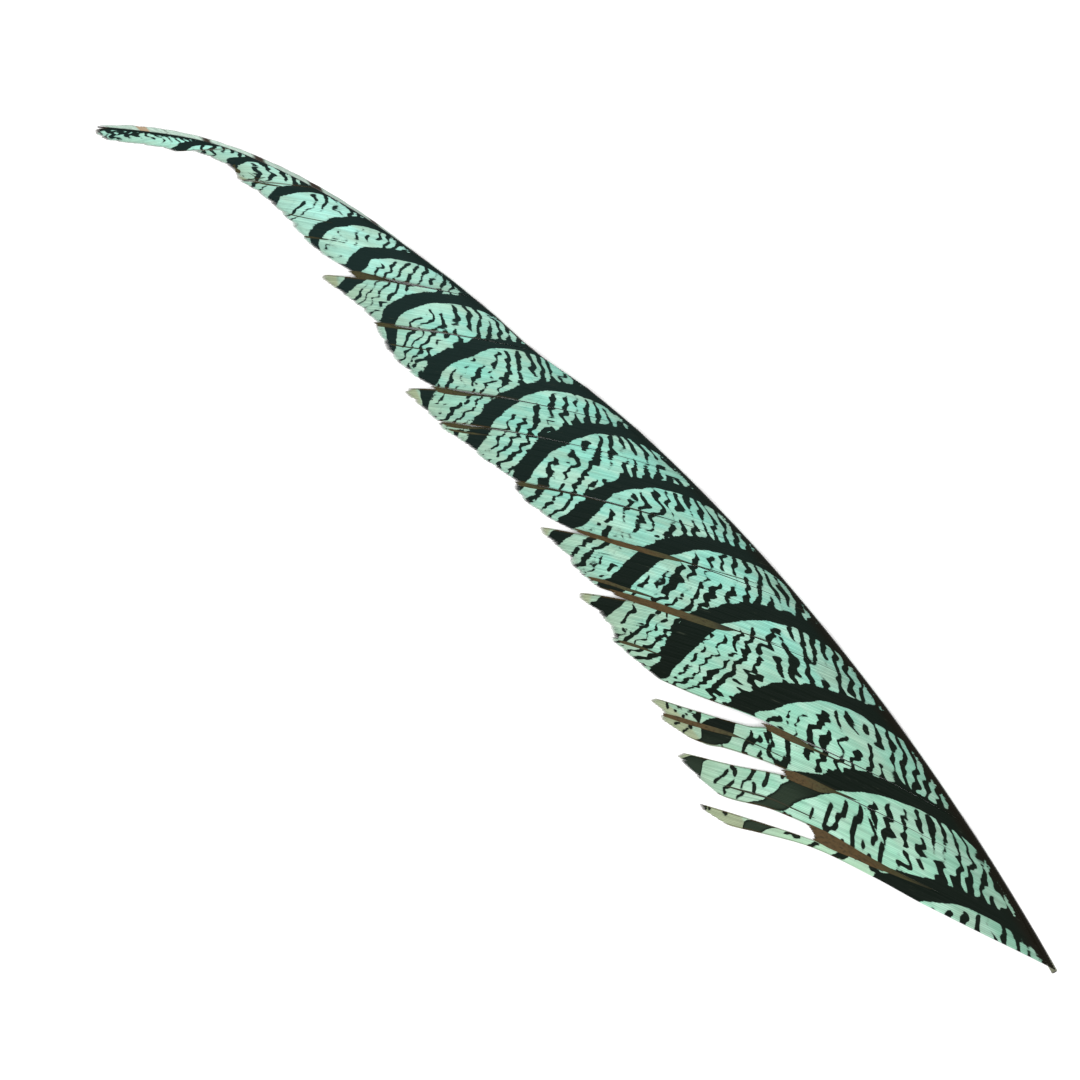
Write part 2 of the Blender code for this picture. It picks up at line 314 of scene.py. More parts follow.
# Each lock's long edges as (reach, station) points, where its barbs end as (share of the way to the upper
# edge, reach), the reach at which the split above it starts, and where its bleached point begins.
LOCKS = (
    dict(lower=((0, 1.8), (25, 1.1), (45, 1.9), (60, 3.9), (80, 5.7), (100, 3.9), (110, 3), (118, 4)),
         upper=((0, 10), (34, 10.1), (50, 9), (76, 8.6), (100, 7.6), (118, 7)),
         ends=((0, 111), (0.5, 118), (1, 118.5)), split=77, cream=((0, 103), (1, 104))),
    dict(lower=((0, 10), (34, 10.1), (50, 10.3), (60, 11.2), (76, 13.4), (90, 13.8), (107, 12), (119, 14)),
         upper=((0, 34.5), (62, 33), (78, 30.4), (100, 25), (120, 22)),
         ends=((0, 110), (0.3, 116), (0.75, 120), (1, 117)), split=78,
         cream=((0, 117), (0.6, 117), (1, 113.5))),
    dict(lower=((0, 34.5), (78, 33.4), (98, 31.6), (105, 30), (117, 30.5)),
         upper=((0, 55), (60, 54.6), (70, 53.4), (80, 49), (100, 44.8), (117, 43)),
         ends=((0, 111), (0.3, 118), (0.6, 116), (0.8, 118), (1, 115)), split=70,
         cream=((0, 106), (0.5, 108), (1, 112))),
    dict(lower=((0, 55), (60, 55.8), (70, 57.2), (90, 56.8), (104, 59.5)),
         upper=((0, 106.5), (50, 106), (86, 103.8), (101, 102)),
         ends=((0, 103), (0.2, 105), (0.4, 106), (0.6, 101), (0.8, 99.5), (0.93, 102), (1, 100)), split=86,
         cream=((0, 125), (0.8, 103), (1, 95.5))),
    dict(lower=((0, 106.5), (86, 106.8), (92, 107.4)),
         upper=((0, 137.2), (78, 135.8), (92, 135)),
         ends=((0, 91), (0.1, 92), (0.3, 93.5), (0.5, 91.5), (0.85, 93), (1, 91)), split=77,
         cream=((0, 125), (0.7, 95), (1, 87))),
    dict(lower=((0, 137.2), (77, 137.4), (84, 138.4)),
         upper=((0, 161.8), (80, 161.2)),
         ends=((0, 79), (0.2, 83.5), (0.5, 85), (0.8, 83.5), (1, 80)), split=76, cream=((0, 125), (1, 125))),
    dict(lower=((0, 161.8), (80, 162.2)),
         upper=((0, 194.6), (80, 194.2)),
         ends=((0, 79), (0.4, 81.5), (0.6, 80.5), (0.85, 82), (1, 80.5)), split=77,
         cream=((0, 125), (1, 81))),
    dict(lower=((0, 194.6), (80, 195.2)),
         upper=((0, 216.5), (63, 215.8), (77, 214.2)),
         ends=((0, 80), (0.5, 78.5), (0.85, 77.5), (1, 74)), split=62,
         cream=((0, 125), (0.5, 77.5), (0.75, 73.8), (1, 71))),
    dict(lower=((0, 216.5), (62, 217.2), (66, 217.8)),
         upper=((0, 253.5), (52, 253)),
         ends=((0, 64), (0.15, 66), (0.4, 65), (0.7, 60.5), (1, 54.5)), split=50, cream=((0, 125), (1, 125))),
    dict(lower=((0, 253.5), (51, 254.4)),
         upper=((0, 282), (34, 281.4), (48, 280.8)),
         ends=((0, 52), (0.5, 50.5), (0.9, 51), (1, 48.4)), split=34,
         cream=((0, 125), (0.7, 50.5), (1, 43.6))),
    dict(lower=((0, 282), (34, 284.4), (38, 287)),
         upper=((0, 341.2), (25, 341)),
         ends=((0, 36.5), (0.15, 39.5), (0.4, 37), (0.7, 30.5), (0.9, 26.5), (1, 25.5)), split=22,
         cream=((0, 125), (1, 125))),
    dict(lower=((0, 341.2), (25, 341.8)),
         upper=((0, 371.4), (17, 370.4)),
         ends=((0, 25), (0.2, 20.5), (0.4, 17), (0.7, 15), (1, 12.5)), split=11,
         cream=((0, 21), (0.3, 20), (1, 125))),
    dict(lower=((0, 371.4), (17, 371.4)),
         upper=((0, 411.5), (4, 411.5)),
         ends=((0, 17.5), (0.15, 15), (0.4, 13), (0.6, 13.5), (0.8, 10), (1, 3.2)), split=2.2,
         cream=((0, 125), (1, 125))),
)

# Barbs: how far apart they leave the shaft, half their width as a share of that, which is over a half where
# they overlap, how their cross section stands, and how they are measured out.
BARB_SPACING = ((0, 0.88), (100, 0.88), (200, 0.82), (300, 0.7), (413.5, 0.55))
ROW_LENGTH = ((0, 0.6), (150, 0.55), (250, 0.5), (413.5, 0.4))
BARB_HALF_WIDTH = 0.56
WING_SPREAD = 0.34
RIB_HEIGHT = 0.085
WING_DROP = 0.035
KEEL_DROP = 0.1
TIP_TAPER = 2.6
SHAFT_COVER = 0.55
MARK_STEP = 0.07
TIP_EDGE_DARK = ((0, 0.25), (300, 0.35), (345, 0.8), (413.5, 0.9))
LOWEST, HIGHEST = 0.02, 8.6

# The marks. Each bar is drawn as (reach, station of its lower edge, of its upper edge), from quill to tip. In
# them and in the strokes a station is that of the barb's root, so the marks run on from lock to lock.
BARS = (
    ((0, -30, -14), (130, -30, -14)),
    ((0, 10.5, 17.5), (10, 9.8, 17), (20, 9.8, 16.6), (30, 8.5, 15), (38, 5.6, 13.8), (44, 3.4, 12.1),
     (48, 0.5, 10.8), (54, -3, 8.6), (58, -5, 7), (64, -6, -1), (130, -1, -1)),
    ((0, 45.5, 57.6), (10, 46.9, 57), (20, 48, 56.8), (30, 46.2, 54.6), (40, 43.2, 52.8), (50, 38.8, 46.6),
     (60, 34, 40.6), (70, 27.5, 36.5), (80, 19.5, 30), (88, 11, 20.5), (93, 9, 15), (98, 3, 11.5),
     (103, -3, 7.5), (107, -10, -2), (130, -34, -25)),
    ((0, 84, 96.4), (10, 86, 95.6), (20, 87.2, 94.4), (30, 85, 91.8), (40, 80.2, 87.5), (50, 73.7, 82.4),
     (60, 66.2, 75.2), (70, 58, 67.5), (72, 55.8, 65.7), (80, 55.4, 57), (84, 54.8, 55.4), (90, 46, 55.1),
     (96, 37.5, 52), (102, 35, 45.5), (106, 34.5, 37.5), (110, 31, 35), (113, 21, 34.5), (117, 5, 30),
     (130, -10, 0)),
    ((0, 118.5, 131), (10, 121.3, 130), (15, 122.3, 129.4), (20, 121.2, 128.7), (30, 118.1, 125),
     (40, 113, 120), (50, 107, 114), (60, 99.5, 107.5), (70, 89.6, 100), (80, 80, 90), (90, 70, 76.5),
     (100, 57.5, 64), (104, 55, 58), (107, 55, 55), (130, 55, 55)),
    ((0, 149, 160.5), (10, 151.9, 158.8), (20, 151.2, 157.6), (30, 148, 154.4), (40, 141.9, 148.8),
     (50, 135.6, 142), (60, 127.8, 135), (70, 118.8, 125.4), (80, 109.5, 115.5), (90, 101, 107),
     (105, 88, 94)),
    ((0, 177.5, 188), (10, 181, 187.2), (20, 180, 185), (30, 176, 180.6), (40, 170.2, 174.6),
     (50, 162, 167.7), (60, 152.6, 159.4), (70, 143.8, 150), (80, 136.5, 141), (90, 128, 133.5),
     (100, 119, 126)),
    ((0, 204.5, 215), (10, 208, 213.8), (20, 205.8, 211.2), (30, 200, 205.7), (40, 193.6, 199.5),
     (50, 186.2, 192.4), (60, 177.5, 183), (70, 167.6, 173.6), (78, 160, 165), (90, 149, 155)),
    ((0, 226.8, 236), (10, 229, 234.5), (20, 226.9, 231.3), (30, 221.5, 225.7), (40, 214.6, 219.6),
     (50, 206.3, 212.4), (60, 197.5, 203.2), (70, 187.3, 193.5), (80, 178, 183), (95, 163, 168)),
    ((0, 248.4, 257.2), (10, 251, 256.3), (20, 248.8, 253.8), (30, 243, 248.8), (40, 236.8, 242.3),
     (50, 229.9, 235.7), (60, 220, 225.8), (68.5, 212.3, 217.5), (73.5, 207, 211.3), (77.5, 201.5, 205.5),
     (85, 192, 197)),
    ((0, 273.8, 281.4), (10, 274.8, 281), (20, 272.6, 278.2), (30, 267.4, 272.6), (40, 260.6, 265.7),
     (50, 249.5, 255), (58, 240, 244), (70, 228, 232)),
    ((0, 296.8, 305), (10, 296.9, 303.3), (20, 294.2, 300), (27, 288.4, 293.8), (34, 281.8, 286.9),
     (42, 276.2, 281), (50, 270, 274.5), (60, 260, 264)),
    ((0, 315.8, 323), (5, 316, 322.6), (10, 315.4, 320.6), (15, 312.8, 317.9), (20, 310.3, 314.5),
     (25, 306.9, 310.8), (30, 302.4, 307), (35, 297, 301.4), (39, 288, 292), (50, 272, 276)),
    ((0, 338.4, 343.3), (5, 337.4, 342), (10, 335.7, 340.6), (15, 333.4, 338.3), (20, 330.6, 334.2),
     (25, 326.2, 330), (30, 321, 324.5), (40, 312, 315)),
    ((0, 360, 364.6), (5, 359.4, 364.1), (10, 356.7, 361.6), (15, 352.6, 357), (25, 343, 347)),
    ((0, 377.3, 381.8), (5, 376.6, 381.3), (10, 374.2, 379), (15, 370.5, 375), (25, 362, 366)),
    ((0, 411, 420), (20, 400, 409)),
)
BAR_TAIL = ((0, 7), (14, 7), (52, 4), (91, 3), (211, 3), (303, 3), (413, 4))
BAR_TAIL_REACH = ((0, 5.0), (40, 5.5), (70, 3.0), (413, 2.4))
SHAFT_SIDE_DARK = ((0, 3.6), (40, 2.8), (100, 2.4), (200, 1.8), (300, 1.1), (350, 0.5), (413, 0.2))

# Near the points of the three lowest locks the strokes are few, and are drawn one by one: half the stroke's
# width, then its (reach, station) points. Each lock's begin at a reach, on barbs below a station.
SINGLE_BELOW = (10, 34.5, 55)
SINGLE_FROM = (46, 50, 63)
SINGLE_SHEAR = 0.41
SINGLE_SQUEEZE = 0.3
FAR_OUTSIDE = -9.0
SINGLE_STROKES = (
    (0.34, (115, 9), (115, 8)), (0.59, (109.5, 9.8), (109.5, 8.5)), (0.46, (89.5, 7.5), (87, 9.5), (85, 9)),
    (0.85, (86.5, 9.9), (85, 7)), (1.0, (82, 1.5), (79, 7)), (1.2, (74, 1.5), (71.5, 5), (69, 8)),
    (0.9, (60, 9), (59, 6)), (0.67, (102.5, 28.5), (105, 24.5), (108.5, 19)), (0.89, (99, 33), (99.5, 28.5)),
    (0.8, (90, 34), (94, 28)), (0.55, (94, 28), (98, 23), (99.5, 19)),
    (0.89, (85, 33.5), (88, 27.5), (90, 25)), (0.59, (102, 21.5), (106.5, 16), (107, 13)),
    (0.76, (94, 24), (95, 19)), (0.67, (100, 16), (102.5, 12.5)), (0.55, (111, 53.5), (112, 50.5)),
    (0.46, (107, 53.5), (106, 53.5)), (0.38, (104, 52.5), (102, 54)), (0.34, (110, 49.5), (109.5, 49.5)),
    (0.38, (106, 49.5), (105.5, 49.5)), (0.38, (108, 47.5), (107.5, 47.5)), (1.31, (102, 50), (100, 53)),
    (0.42, (111, 42.5), (113, 40.5)), (0.5, (107.5, 43), (107, 42.5)), (0.46, (109, 40.5), (111.5, 37)),
    (0.63, (81, 50), (85.5, 44), (89, 39.5), (91, 35.5)), (0.67, (86, 43), (78, 48)),
    (0.97, (75, 49), (71, 53)), (0.67, (74, 47), (79, 42)), (0.55, (80, 40.5), (79, 39), (79, 35.5)),
    (0.46, (83, 39), (85.5, 36)), (0.89, (65, 51), (69.5, 45.5), (72.5, 40)), (0.89, (74, 38.5), (79, 34.8)),
    (0.5, (74, 19.5), (76.5, 15)), (0.72, (64.5, 26.5), (69.5, 19.5), (73, 13)),
    (0.76, (57, 31), (61, 25.5), (65.5, 20.5)), (0.93, (52, 31), (57, 24.5), (62, 17.5), (64, 11.5)),
    (0.76, (44, 38.5), (49, 32), (50.5, 26.5), (52, 21.5), (54.5, 18)), (0.72, (59.5, 14), (59.2, 14.2)),
    (0.63, (67, 17), (71, 13), (73.5, 10.5)), (0.89, (51, 18.5), (55, 11.5)),
    (0.89, (35, 36.5), (43, 28), (46, 23), (47, 19)), (0.72, (35.5, 40.5), (42, 34.5), (44, 31.5)),
)

# Wavy strokes fill the fields between the bars: how far apart they stand along the barbs, how that changes
# from the shaft to the edge of the vane, how much they lean, and how bare the fields are left.
STROKE_SPACING = ((0, 5.6), (50, 5.2), (75, 4.9), (112, 4.9), (141, 4.7), (175, 4.4), (202, 4.2), (241, 4.0),
                  (266, 3.9), (290, 3.7), (312, 3.5), (332, 3.6), (353, 4.0), (373, 3.8), (395, 2.4))
STROKE_SPREAD = ((0, 0.72), (0.15, 0.8), (0.4, 1.0), (0.7, 1.02), (1, 0.98))
LEAN_AT_SHAFT = ((0, 0.3), (200, 0.4), (280, 0.7), (413, 0.8))
LEAN_AT_EDGE = ((0, 0.95), (120, 1.1), (413, 1.15))
STROKE_REACH = ((0, 100), (100, 95), (200, 80), (260, 50), (300, 35), (340, 22), (413, 12))
STROKE_STRETCH = 0.38
STROKE_BELT = 0.2
BARE_AT_SHAFT = ((0, 0.05), (120, 0.06), (150, 0.0), (175, 0.05), (205, 0.15), (240, 0.13), (270, 0.33),
                 (300, 0.47), (325, 0.48), (345, 0.05), (370, 0.12), (413, 0.35))
BARE_TO_EDGE = 0.22
BARE_BLOTS = 0.46
STROKE_SLOPE = 0.16
TIP_FIELD = 388
STROKE_BREAKS = ((0, 0.38), (250, 0.38), (290, 0.12), (413, 0.1))
TILE_PERIODS = 16
TILE_CELLS = 14 * TILE_PERIODS
tile_waves = np.fft.fftfreq(TILE_CELLS, TILE_PERIODS / TILE_CELLS)
waves_across, waves_along = np.meshgrid(tile_waves, tile_waves)


def soft_blots(seed, finest):
    """A tile of soft blots, for slow changes."""
    cells = np.random.default_rng(seed).normal(0, 1, (TILE_CELLS, TILE_CELLS))
    passed = np.exp(-(waves_across ** 2 + waves_along ** 2) / (2 * finest ** 2))
    cells = np.real(np.fft.ifft2(np.fft.fft2(cells) * passed))
    return cells / cells.std()


def sorted_stripes(seed, steps):
    """A tile of wavy stripes. Noise is left to sort itself into stripes, as the pigment of a growing barb
    does."""
    cells = np.random.default_rng(seed).normal(0, 0.3, (TILE_CELLS, TILE_CELLS))
    growth = 0.6 - 1.6 * (waves_across ** 2 + waves_along ** 2 - 1) ** 2 - 0.12 * waves_along ** 2
    for _ in range(steps):
        grown = np.fft.fft2(cells) - 0.5 * np.fft.fft2(cells ** 3)
        cells = np.real(np.fft.ifft2(grown / (1 - 0.5 * growth)))
    return cells / np.sqrt(2 * np.mean(cells ** 2))


def on_tile(tile, across, along):
    """Reads a tile, which repeats, at places counted in its periods."""
    x = across / TILE_PERIODS % 1.0 * TILE_CELLS
    y = along / TILE_PERIODS % 1.0 * TILE_CELLS
    column, row = np.floor(x).astype(int), np.floor(y).astype(int)
    x, y = x - column, y - row
    column, row = column % TILE_CELLS, row % TILE_CELLS
    right, above = (column + 1) % TILE_CELLS, (row + 1) % TILE_CELLS
    return ((tile[row, column] * (1 - x) + tile[row, right] * x) * (1 - y)
            + (tile[above, column] * (1 - x) + tile[above, right] * x) * y)


stripes = sorted_stripes(3, 24)
sway_blots, slip_blots, gap_blots = soft_blots(11, 0.5), soft_blots(12, 0.5), soft_blots(5, 0.5)
edge_blots = soft_blots(9, 2.2)
reach_steps = np.linspace(0, 130, 521)
bar_lower_edges = [smooth_at([(reach, low) for reach, low, high in bar], reach_steps) for bar in BARS]
bar_upper_edges = [smooth_at([(reach, high) for reach, low, high in bar], reach_steps) for bar in BARS]


def strokes_between(lower_edge, upper_edge, reach, root):
    """How far inside a wavy stroke places between two bars lie, in millimetres. The bars' edges are given
    at reach_steps."""
    middle_root = (lower_edge[0] + upper_edge[0]) / 2
    span = value_at(STROKE_REACH, middle_root)
    near, far = value_at(LEAN_AT_SHAFT, middle_root), value_at(LEAN_AT_EDGE, middle_root)
    midline = (lower_edge + upper_edge) / 2
    leans = near + (far - near) * np.clip(reach_steps / span, 0, 1.2) ** 0.8
    spacings = value_at(STROKE_SPACING, middle_root) * value_at(STROKE_SPREAD, reach_steps / span)
    run = np.diff(reach_steps) / ((spacings[1:] + spacings[:-1]) / 2)
    drop = np.diff(midline) * ((leans / spacings)[1:] + (leans / spacings)[:-1]) / 2
    phase = np.concatenate(([0.0], np.cumsum(run + drop)))
    lean, spacing = np.interp(reach, reach_steps, leans), np.interp(reach, reach_steps, spacings)
    past_middle = (root - np.interp(reach, reach_steps, midline)) / spacing
    across = np.interp(reach, reach_steps, phase) + lean * past_middle
    along = (1 + lean ** 2) * past_middle * STROKE_STRETCH
    across = across + 0.15 * on_tile(sway_blots, reach / 5, root / 6) + 0.617 * middle_root
    across = across + 0.05 * on_tile(slip_blots, reach / 3, root / 4)
    along = along + 0.15 * on_tile(slip_blots, reach / 5, root / 6) + 0.383 * middle_root
    above = root - np.interp(reach, reach_steps, lower_edge)
    below = np.interp(reach, reach_steps, upper_edge) - root
    outward = np.clip(reach / span, 0, 1.2)
    belt = STROKE_BELT * (above + below) * np.clip((outward - 0.15) / 0.25, 0.001, 1)
    bare = value_at(BARE_AT_SHAFT, middle_root) + BARE_TO_EDGE * np.clip(outward * 1.4, 0, 1)
    bare = bare + BARE_BLOTS * np.maximum(on_tile(gap_blots, across, along * 1.5), -0.5)
    breaks = value_at(STROKE_BREAKS, middle_root) * eased(outward, 0.2, 0.6)
    bare = bare + breaks * on_tile(gap_blots, across * 1.6 + 5, along * 4.5)
    bare = bare + 1.6 * np.clip(1 - below / np.maximum(belt, 0.01), 0, 1) * (outward > 0.15)
    bare = bare - 0.6 * np.clip(1 - above / 4, 0, 1) * (outward < 0.35)
    if middle_root < TIP_FIELD:
        clear = np.clip(1.5 - 3.2 * above / (above + below), 0, 1) * eased(outward, 0.15, 0.45)
        bare = bare + clear * eased(middle_root, 285, 330) + 0.1 * eased(middle_root, 340, 365)
    else:
        bare = bare + 0.9 * eased(reach, 3, 9) * (1 - eased(root, 391, 399)) - 0.8 * eased(root, 393, 402)
    return (on_tile(stripes, across, along) - bare) * spacing * STROKE_SLOPE


def single_strokes(reach, root):
    """How far inside the strokes near the points places lie, in millimetres. Barbs leave the shaft aslant,
    so a millimetre of station counts as half of one, and leans outwards."""
    inside = np.full(reach.shape, FAR_OUTSIDE)
    x, y = reach + SINGLE_SHEAR * root, SINGLE_SQUEEZE * root
    for half_width, *path in SINGLE_STROKES:
        for (near, first), (far, last) in zip(path, path[1:]):
            run_x, run_y = (far - near) + SINGLE_SHEAR * (last - first), SINGLE_SQUEEZE * (last - first)
            from_x, from_y = x - near - SINGLE_SHEAR * first, y - SINGLE_SQUEEZE * first
            share = np.clip((from_x * run_x + from_y * run_y) / (run_x ** 2 + run_y ** 2), 0, 1)
            away = np.hypot(from_x - share * run_x, from_y - share * run_y)
            inside = np.maximum(inside, half_width * (0.85 + 0.3 * np.sin(2.2 * reach + root)) - away)
    return inside


def markings(reach, root):
    """How far inside the dark marks a place on a barb lies, in millimetres. Below 0 it is dyed mint."""
    in_bars = np.full(reach.shape, FAR_OUTSIDE)
    in_strokes = np.full(reach.shape, FAR_OUTSIDE)
    rough = on_tile(edge_blots, reach * 0.9, root * 0.9)
    sway = on_tile(sway_blots, reach / 7, root / 7)
    tail_reach = value_at(BAR_TAIL_REACH, root)
    for lower_edge, upper_edge in zip(bar_lower_edges[1:], bar_upper_edges[1:]):
        tail = value_at(BAR_TAIL, lower_edge[0]) * np.exp(-(reach / tail_reach) ** 2)
        above = np.interp(reach, reach_steps, upper_edge) - root + 0.12 * rough + 0.25 * sway
        below = root - np.interp(reach, reach_steps, lower_edge) + tail + 0.08 * rough + 0.15 * sway
        in_bars = np.maximum(in_bars, np.minimum(above, below))
    for lower_edge, upper_edge in zip(bar_upper_edges, bar_lower_edges[1:]):
        between_bars = ((root > np.interp(reach, reach_steps, lower_edge) - 1)
                        & (root < np.interp(reach, reach_steps, upper_edge) + 1))
        if between_bars.any():
            in_strokes[between_bars] = strokes_between(
                lower_edge, upper_edge, reach[between_bars], root[between_bars])
    if root.min() < SINGLE_BELOW[-1]:
        near_point = reach > np.select([root < limit for limit in SINGLE_BELOW], SINGLE_FROM, 999)
        in_strokes = np.where(near_point, single_strokes(reach, root), in_strokes)
    in_bars = np.maximum(in_bars, 0.45 * (value_at(SHAFT_SIDE_DARK, root) - reach) + 0.3 * rough)
    meeting = np.clip(0.5 + 0.5 * (in_bars - in_strokes) / 0.7, 0, 1)
    return in_strokes * (1 - meeting) + in_bars * meeting + 0.7 * meeting * (1 - meeting)


def on_barb(station, reach):
    """A point on a barb of the broad vane, seen from above."""
    start = np.radians(value_at(COURSE_HEADING, station) + value_at(BARB_ANGLE, station))
    turn = np.radians(value_at(BARB_TURN, station))
    x, y = beside_course(station, 0.0)
    x = x + (np.sin(start + turn * reach) - np.sin(start)) / turn
    y = y + (np.cos(start) - np.cos(start + turn * reach)) / turn
    return x, y


def vane_height(station, reach):
    """Height of the broad vane: it lies over the shaft, arches up and comes down to the table."""
    share = np.clip(reach / value_at(VANE_REACH, station), 0, 1)
    base = value_at(SHAFT_HEIGHT, station)
    rise = value_at(VANE_RISE, station) * (1 - np.exp(-share / VANE_CREST))
    height = EDGE_HEIGHT + (base - EDGE_HEIGHT + rise) * (1 - share ** VANE_FALL)
    side = reach * np.sin(np.radians(value_at(BARB_ANGLE, station))) - value_at(SHAFT_STRAY, station)
    from_centre = np.abs(side / value_at(SHAFT_HALF_WIDTH, station))
    rounding = np.sqrt(np.maximum(1 - from_centre ** 2, 0))
    shaft_top = base + value_at(SHAFT_HALF_DEPTH, station) * rounding + VANE_OVER_SHAFT
    return np.where(from_centre < 1, np.maximum(height, shaft_top), height)


def in_lock(lock, share, reach, gaps):
    """Points on a lock's surface. share runs from its lower to its upper edge, and gaps part its small
    locks."""
    low, high = smooth_at(lock["lower"], reach), smooth_at(lock["upper"], reach)
    station = low * (1 - share) + high * share
    count = len(gaps) - 1
    cell = np.clip(np.floor(share * count), 0, count - 1).astype(int)
    part = share * count - cell
    opening = eased(reach, lock["split"] * 0.8, lock["split"] + 25)
    station = station + opening * (gaps[cell] * (1 - part) - gaps[cell + 1] * part) / 2
    station = np.clip(station, 0.0, SHAFT_LENGTH)
    x, y = on_barb(station, reach)
    ripple = 0.06 * np.sin(station * 1.3 + reach * 0.05) + 0.04 * np.sin(station * 2.9 - reach * 0.08)
    edge_lift = 0.12 * np.exp(-(part * (1 - part) / 0.06) ** 2) * eased(reach, 8, 40)
    return np.stack([x, y, vane_height(station, reach) + (ripple * eased(reach, 3, 15)) + edge_lift], axis=-1)


def barb_object(name, left, rib, right, keel, numbers):
    """One mesh of many barbs, from four lines along each: two wing edges, the rib above and the keel below.
    Each line is an array of (barb, row, xyz), in millimetres. numbers are kept for the material to read."""
    lines = np.stack([left, rib, right, keel], axis=2)
    lines[..., 2] = np.clip(lines[..., 2], LOWEST, HIGHEST)
    barbs, rows = lines.shape[:2]
    points = in_metres(*np.moveaxis(lines, -1, 0)).reshape(-1, 3)
    index = np.arange(len(points)).reshape(barbs, rows, 4)
    after = np.roll(index, -1, axis=2)
    walls = np.stack([index[:, :-1], after[:, :-1], after[:, 1:], index[:, 1:]], axis=-1).reshape(-1, 4)
    caps = np.concatenate([index[:, 0, ::-1], index[:, -1]])
    faces = np.concatenate([walls, caps])
    corner = points[faces]
    facing = np.cross(corner[:, 1], corner[:, 2]) + np.cross(corner[:, 2], corner[:, 3])
    volume = np.einsum("ij,ij->", corner[:, 0], facing)
    if volume < 0:
        faces = faces[:, ::-1]
    mesh = bpy.data.meshes.new(name)
    mesh.from_pydata(points.tolist(), [], faces.tolist())
    mesh.shade_smooth()
    edges = np.empty(len(mesh.edges) * 2, np.int32)
    mesh.edges.foreach_get("vertices", edges)
    first, second = edges.reshape(-1, 2).T
    sharp = (first % 4 == second % 4) & (first % 2 == 0)
    mesh.attributes.new("sharp_edge", "BOOLEAN", "EDGE").data.foreach_set("value", sharp)
    # On the bake's map the barbs lie side by side, and their undersides are narrower than their upper sides.
    line_place = np.array([0.0, 0.38, 0.76, 0.88, 1.0])
    line_of = np.broadcast_to(np.arange(4), (barbs, rows - 1, 4))
    start, end = line_place[line_of], line_place[line_of + 1]
    number_of = np.arange(barbs)[:, None, None]
    row_of = np.broadcast_to(np.arange(rows - 1)[None, :, None], line_of.shape)
    low, high = (number_of + start) / barbs, (number_of + end) / barbs
    near, far = row_of / (rows - 1), (row_of + 1) / (rows - 1)
    places = np.stack([np.stack([near, low], -1), np.stack([near, high], -1), np.stack([far, high], -1),
                       np.stack([far, low], -1)], axis=-2).reshape(-1, 4, 2)
    cap_low = np.repeat(np.tile(np.arange(barbs) / barbs, 2)[:, None], 4, axis=1)
    cap_places = np.stack([np.repeat([[0.0], [0.999]], barbs, axis=0).repeat(4, axis=1), cap_low], axis=-1)
    places = np.concatenate([places, cap_places])
    if volume < 0:
        places = places[:, ::-1]
    mesh.uv_layers.new(name="OFBake").uv.foreach_set("vector", places.astype(np.float32).ravel())
    for label, values in numbers.items():
        keep_number(mesh, label, np.broadcast_to(values, (barbs, rows, 4)))
    piece = bpy.data.objects.new(name, mesh)
    bpy.context.scene.collection.objects.link(piece)
    return piece


def spread_wings(centre, lower_side, upper_side, widest, taper):
    """Wing edges square to a barb's middle line, no further out than widest, and drawn in where taper falls
    to 0. For each wing it also gives the share of the way to its side line that it covers, and how far that
    line's point lies along the barb from the middle line's."""
    run = np.gradient(centre, axis=1)
    run = run / np.linalg.norm(run, axis=-1, keepdims=True)
    wings, covers = [], []
    for other, drop in ((lower_side, -WING_DROP), (upper_side, WING_DROP / 2)):
        reach_out = other - centre
        along = np.sum(reach_out * run, axis=-1)
        reach_out = reach_out - run * along[..., None]
        share = taper * np.minimum(widest / np.maximum(np.linalg.norm(reach_out, axis=-1), 1e-6), 1)
        wings.append(centre + reach_out * share[..., None] + np.array([0, 0, drop]))
        covers.append((share, along))
    return wings, covers


def lifted(line, height):
    """A line moved straight up by a height at each of its points."""
    return line + np.stack([0 * height, 0 * height, height], axis=-1)


# Mint dye on white barbs, black where the barb itself is black.
MINT_LOW = (0.250, 0.505, 0.370)
MINT_MIDDLE = (0.218, 0.520, 0.425)
MINT_TIP = (0.370, 0.720, 0.625)
MINT_POINT = (0.400, 0.860, 0.740)
MINT_DULL = (0.270, 0.400, 0.300)
MINT_STRIP = (0.460, 0.660, 0.450)
MINT_PALE = (0.410, 0.620, 0.500)
BLACK_LOW = (0.0032, 0.0070, 0.0042)
BLACK_TIP = (0.0070, 0.0180, 0.0160)
BLACK_SHAFT = (0.0078, 0.0064, 0.0036)
BLACK_WORN = (0.016, 0.020, 0.014)
BLACK_THIN = (0.022, 0.036, 0.022)
BLACK_FRAYED = (0.060, 0.070, 0.048)
CREAM = (0.285, 0.340, 0.215)
SPLIT_BROWN = (0.066, 0.040, 0.013)
PALE_BELOW = (0.20, 0.24, 0.18)
dyed_barb, nodes, shader = new_material("dyed_barb")
root = kept_number(nodes, "root")
reach = kept_number(nodes, "reach")
marking = kept_number(nodes, "marking")
chance = kept_number(nodes, "chance")
across = kept_number(nodes, "across")
along_barbs = place_of(nodes, maths(nodes, "MULTIPLY", reach, 0.12), maths(nodes, "MULTIPLY", root, 0.9))
slow = noise(nodes, place_of(nodes, reach, root, 2.0), 0.055, 2.0)
streak = noise(nodes, along_barbs, 1.0, 4.0, 0.6)
frayed_edge = noise(nodes, place_of(nodes, reach, maths(nodes, "MULTIPLY", root, 2.0), 7.0), 2.6, 3.0, 0.7)
mint = blended(nodes, between(nodes, root, 40.0, 130.0), MINT_LOW, MINT_MIDDLE)
mint = blended(nodes, between(nodes, root, 230.0, 330.0), mint, MINT_TIP)
mint = blended(nodes, between(nodes, root, 358.0, 380.0), mint, MINT_POINT)
strip = maths(nodes, "MULTIPLY", between(nodes, root, 9.5, 10.5, 0.6, 0.0), between(nodes, reach, 50.0, 62.0))
mint = blended(nodes, strip, mint, MINT_STRIP)
